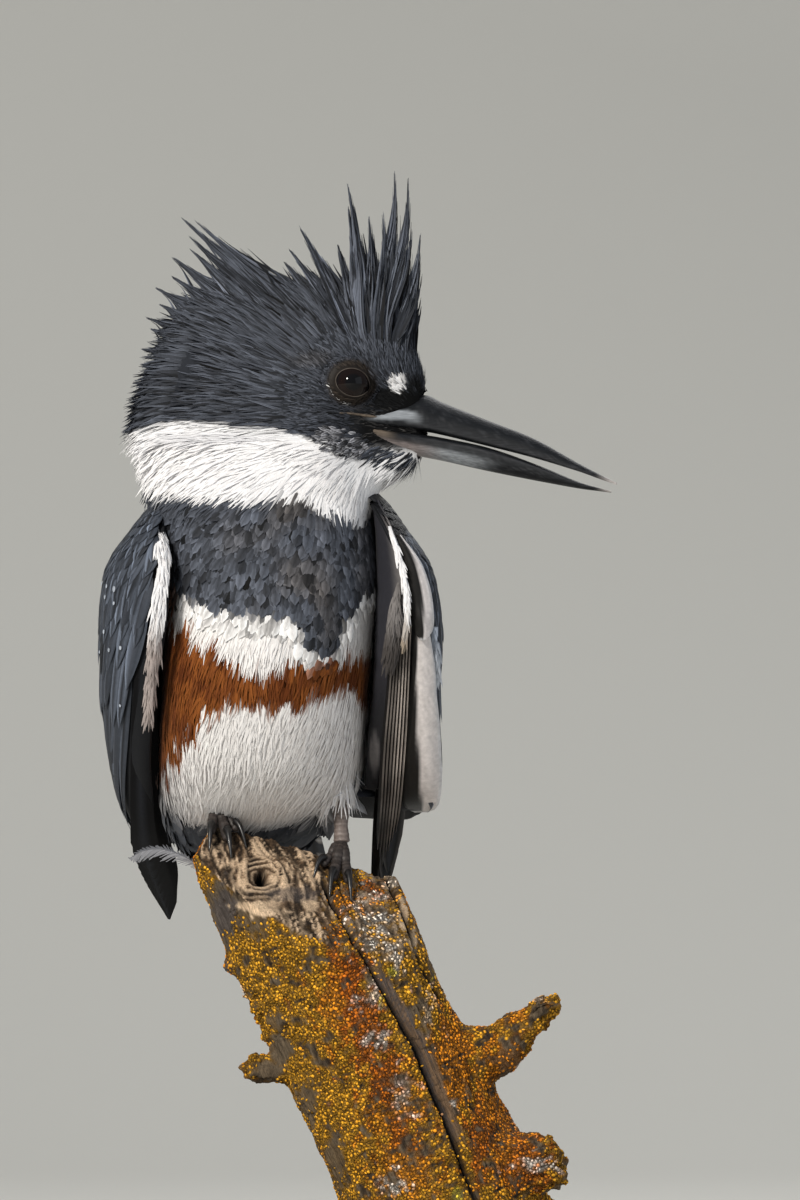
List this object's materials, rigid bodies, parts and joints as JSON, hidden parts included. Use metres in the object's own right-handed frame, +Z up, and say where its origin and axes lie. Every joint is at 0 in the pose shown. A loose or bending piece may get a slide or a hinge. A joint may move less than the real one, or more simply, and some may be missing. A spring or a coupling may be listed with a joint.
{
  "type": "belted kingfisher model",
  "caption": "Life-size still model of a crested kingfisher gripping a broken branch stub, held on a round base by a short rod.",
  "frame": {"origin": "centre of the underside of the stand's base", "axes": "+Z up; the bird's breast faces -Y, its bill points to +X, its tail hangs towards +Y"},
  "size_m": [0.1504, 0.1919, 0.3375],
  "materials": {
    "plumage": "soft matt feathers, slate, white and rufous",
    "wing_feather": "slate blue to black feathers with a faint sheen",
    "eye": "wet and glossy",
    "bill": "horn, satin with fine long striations",
    "leg_skin": "scaly dark skin",
    "claw": "horn, glossy",
    "bark": "rough weathered bark with orange lichen",
    "stand_base": "satin dark stain",
    "stand_rod": "brushed"
  },
  "bodies": {
    "root": {"trunk": "plumage", "neck": "plumage", "head": "plumage", "crest": "plumage", "wing_right_coverts": "wing_feather", "wing_right_secondaries": "wing_feather", "wing_right_primaries": "wing_feather", "wing_left_coverts": "wing_feather", "wing_left_secondaries": "wing_feather", "wing_left_primaries": "wing_feather", "tail": "wing_feather", "eye_right": "eye", "eye_left": "eye", "bill_upper": "bill", "bill_lower": "bill", "leg_right": "leg_skin", "leg_left": "leg_skin", "claw_right_inner": "claw", "claw_right_middle": "claw", "claw_right_outer": "claw", "claw_right_hind": "claw", "claw_left_inner": "claw", "claw_left_middle": "claw", "claw_left_outer": "claw", "claw_left_hind": "claw", "perch": "bark", "stand_base": "stand_base", "stand_rod": "stand_rod"}
  },
  "joints": []
}
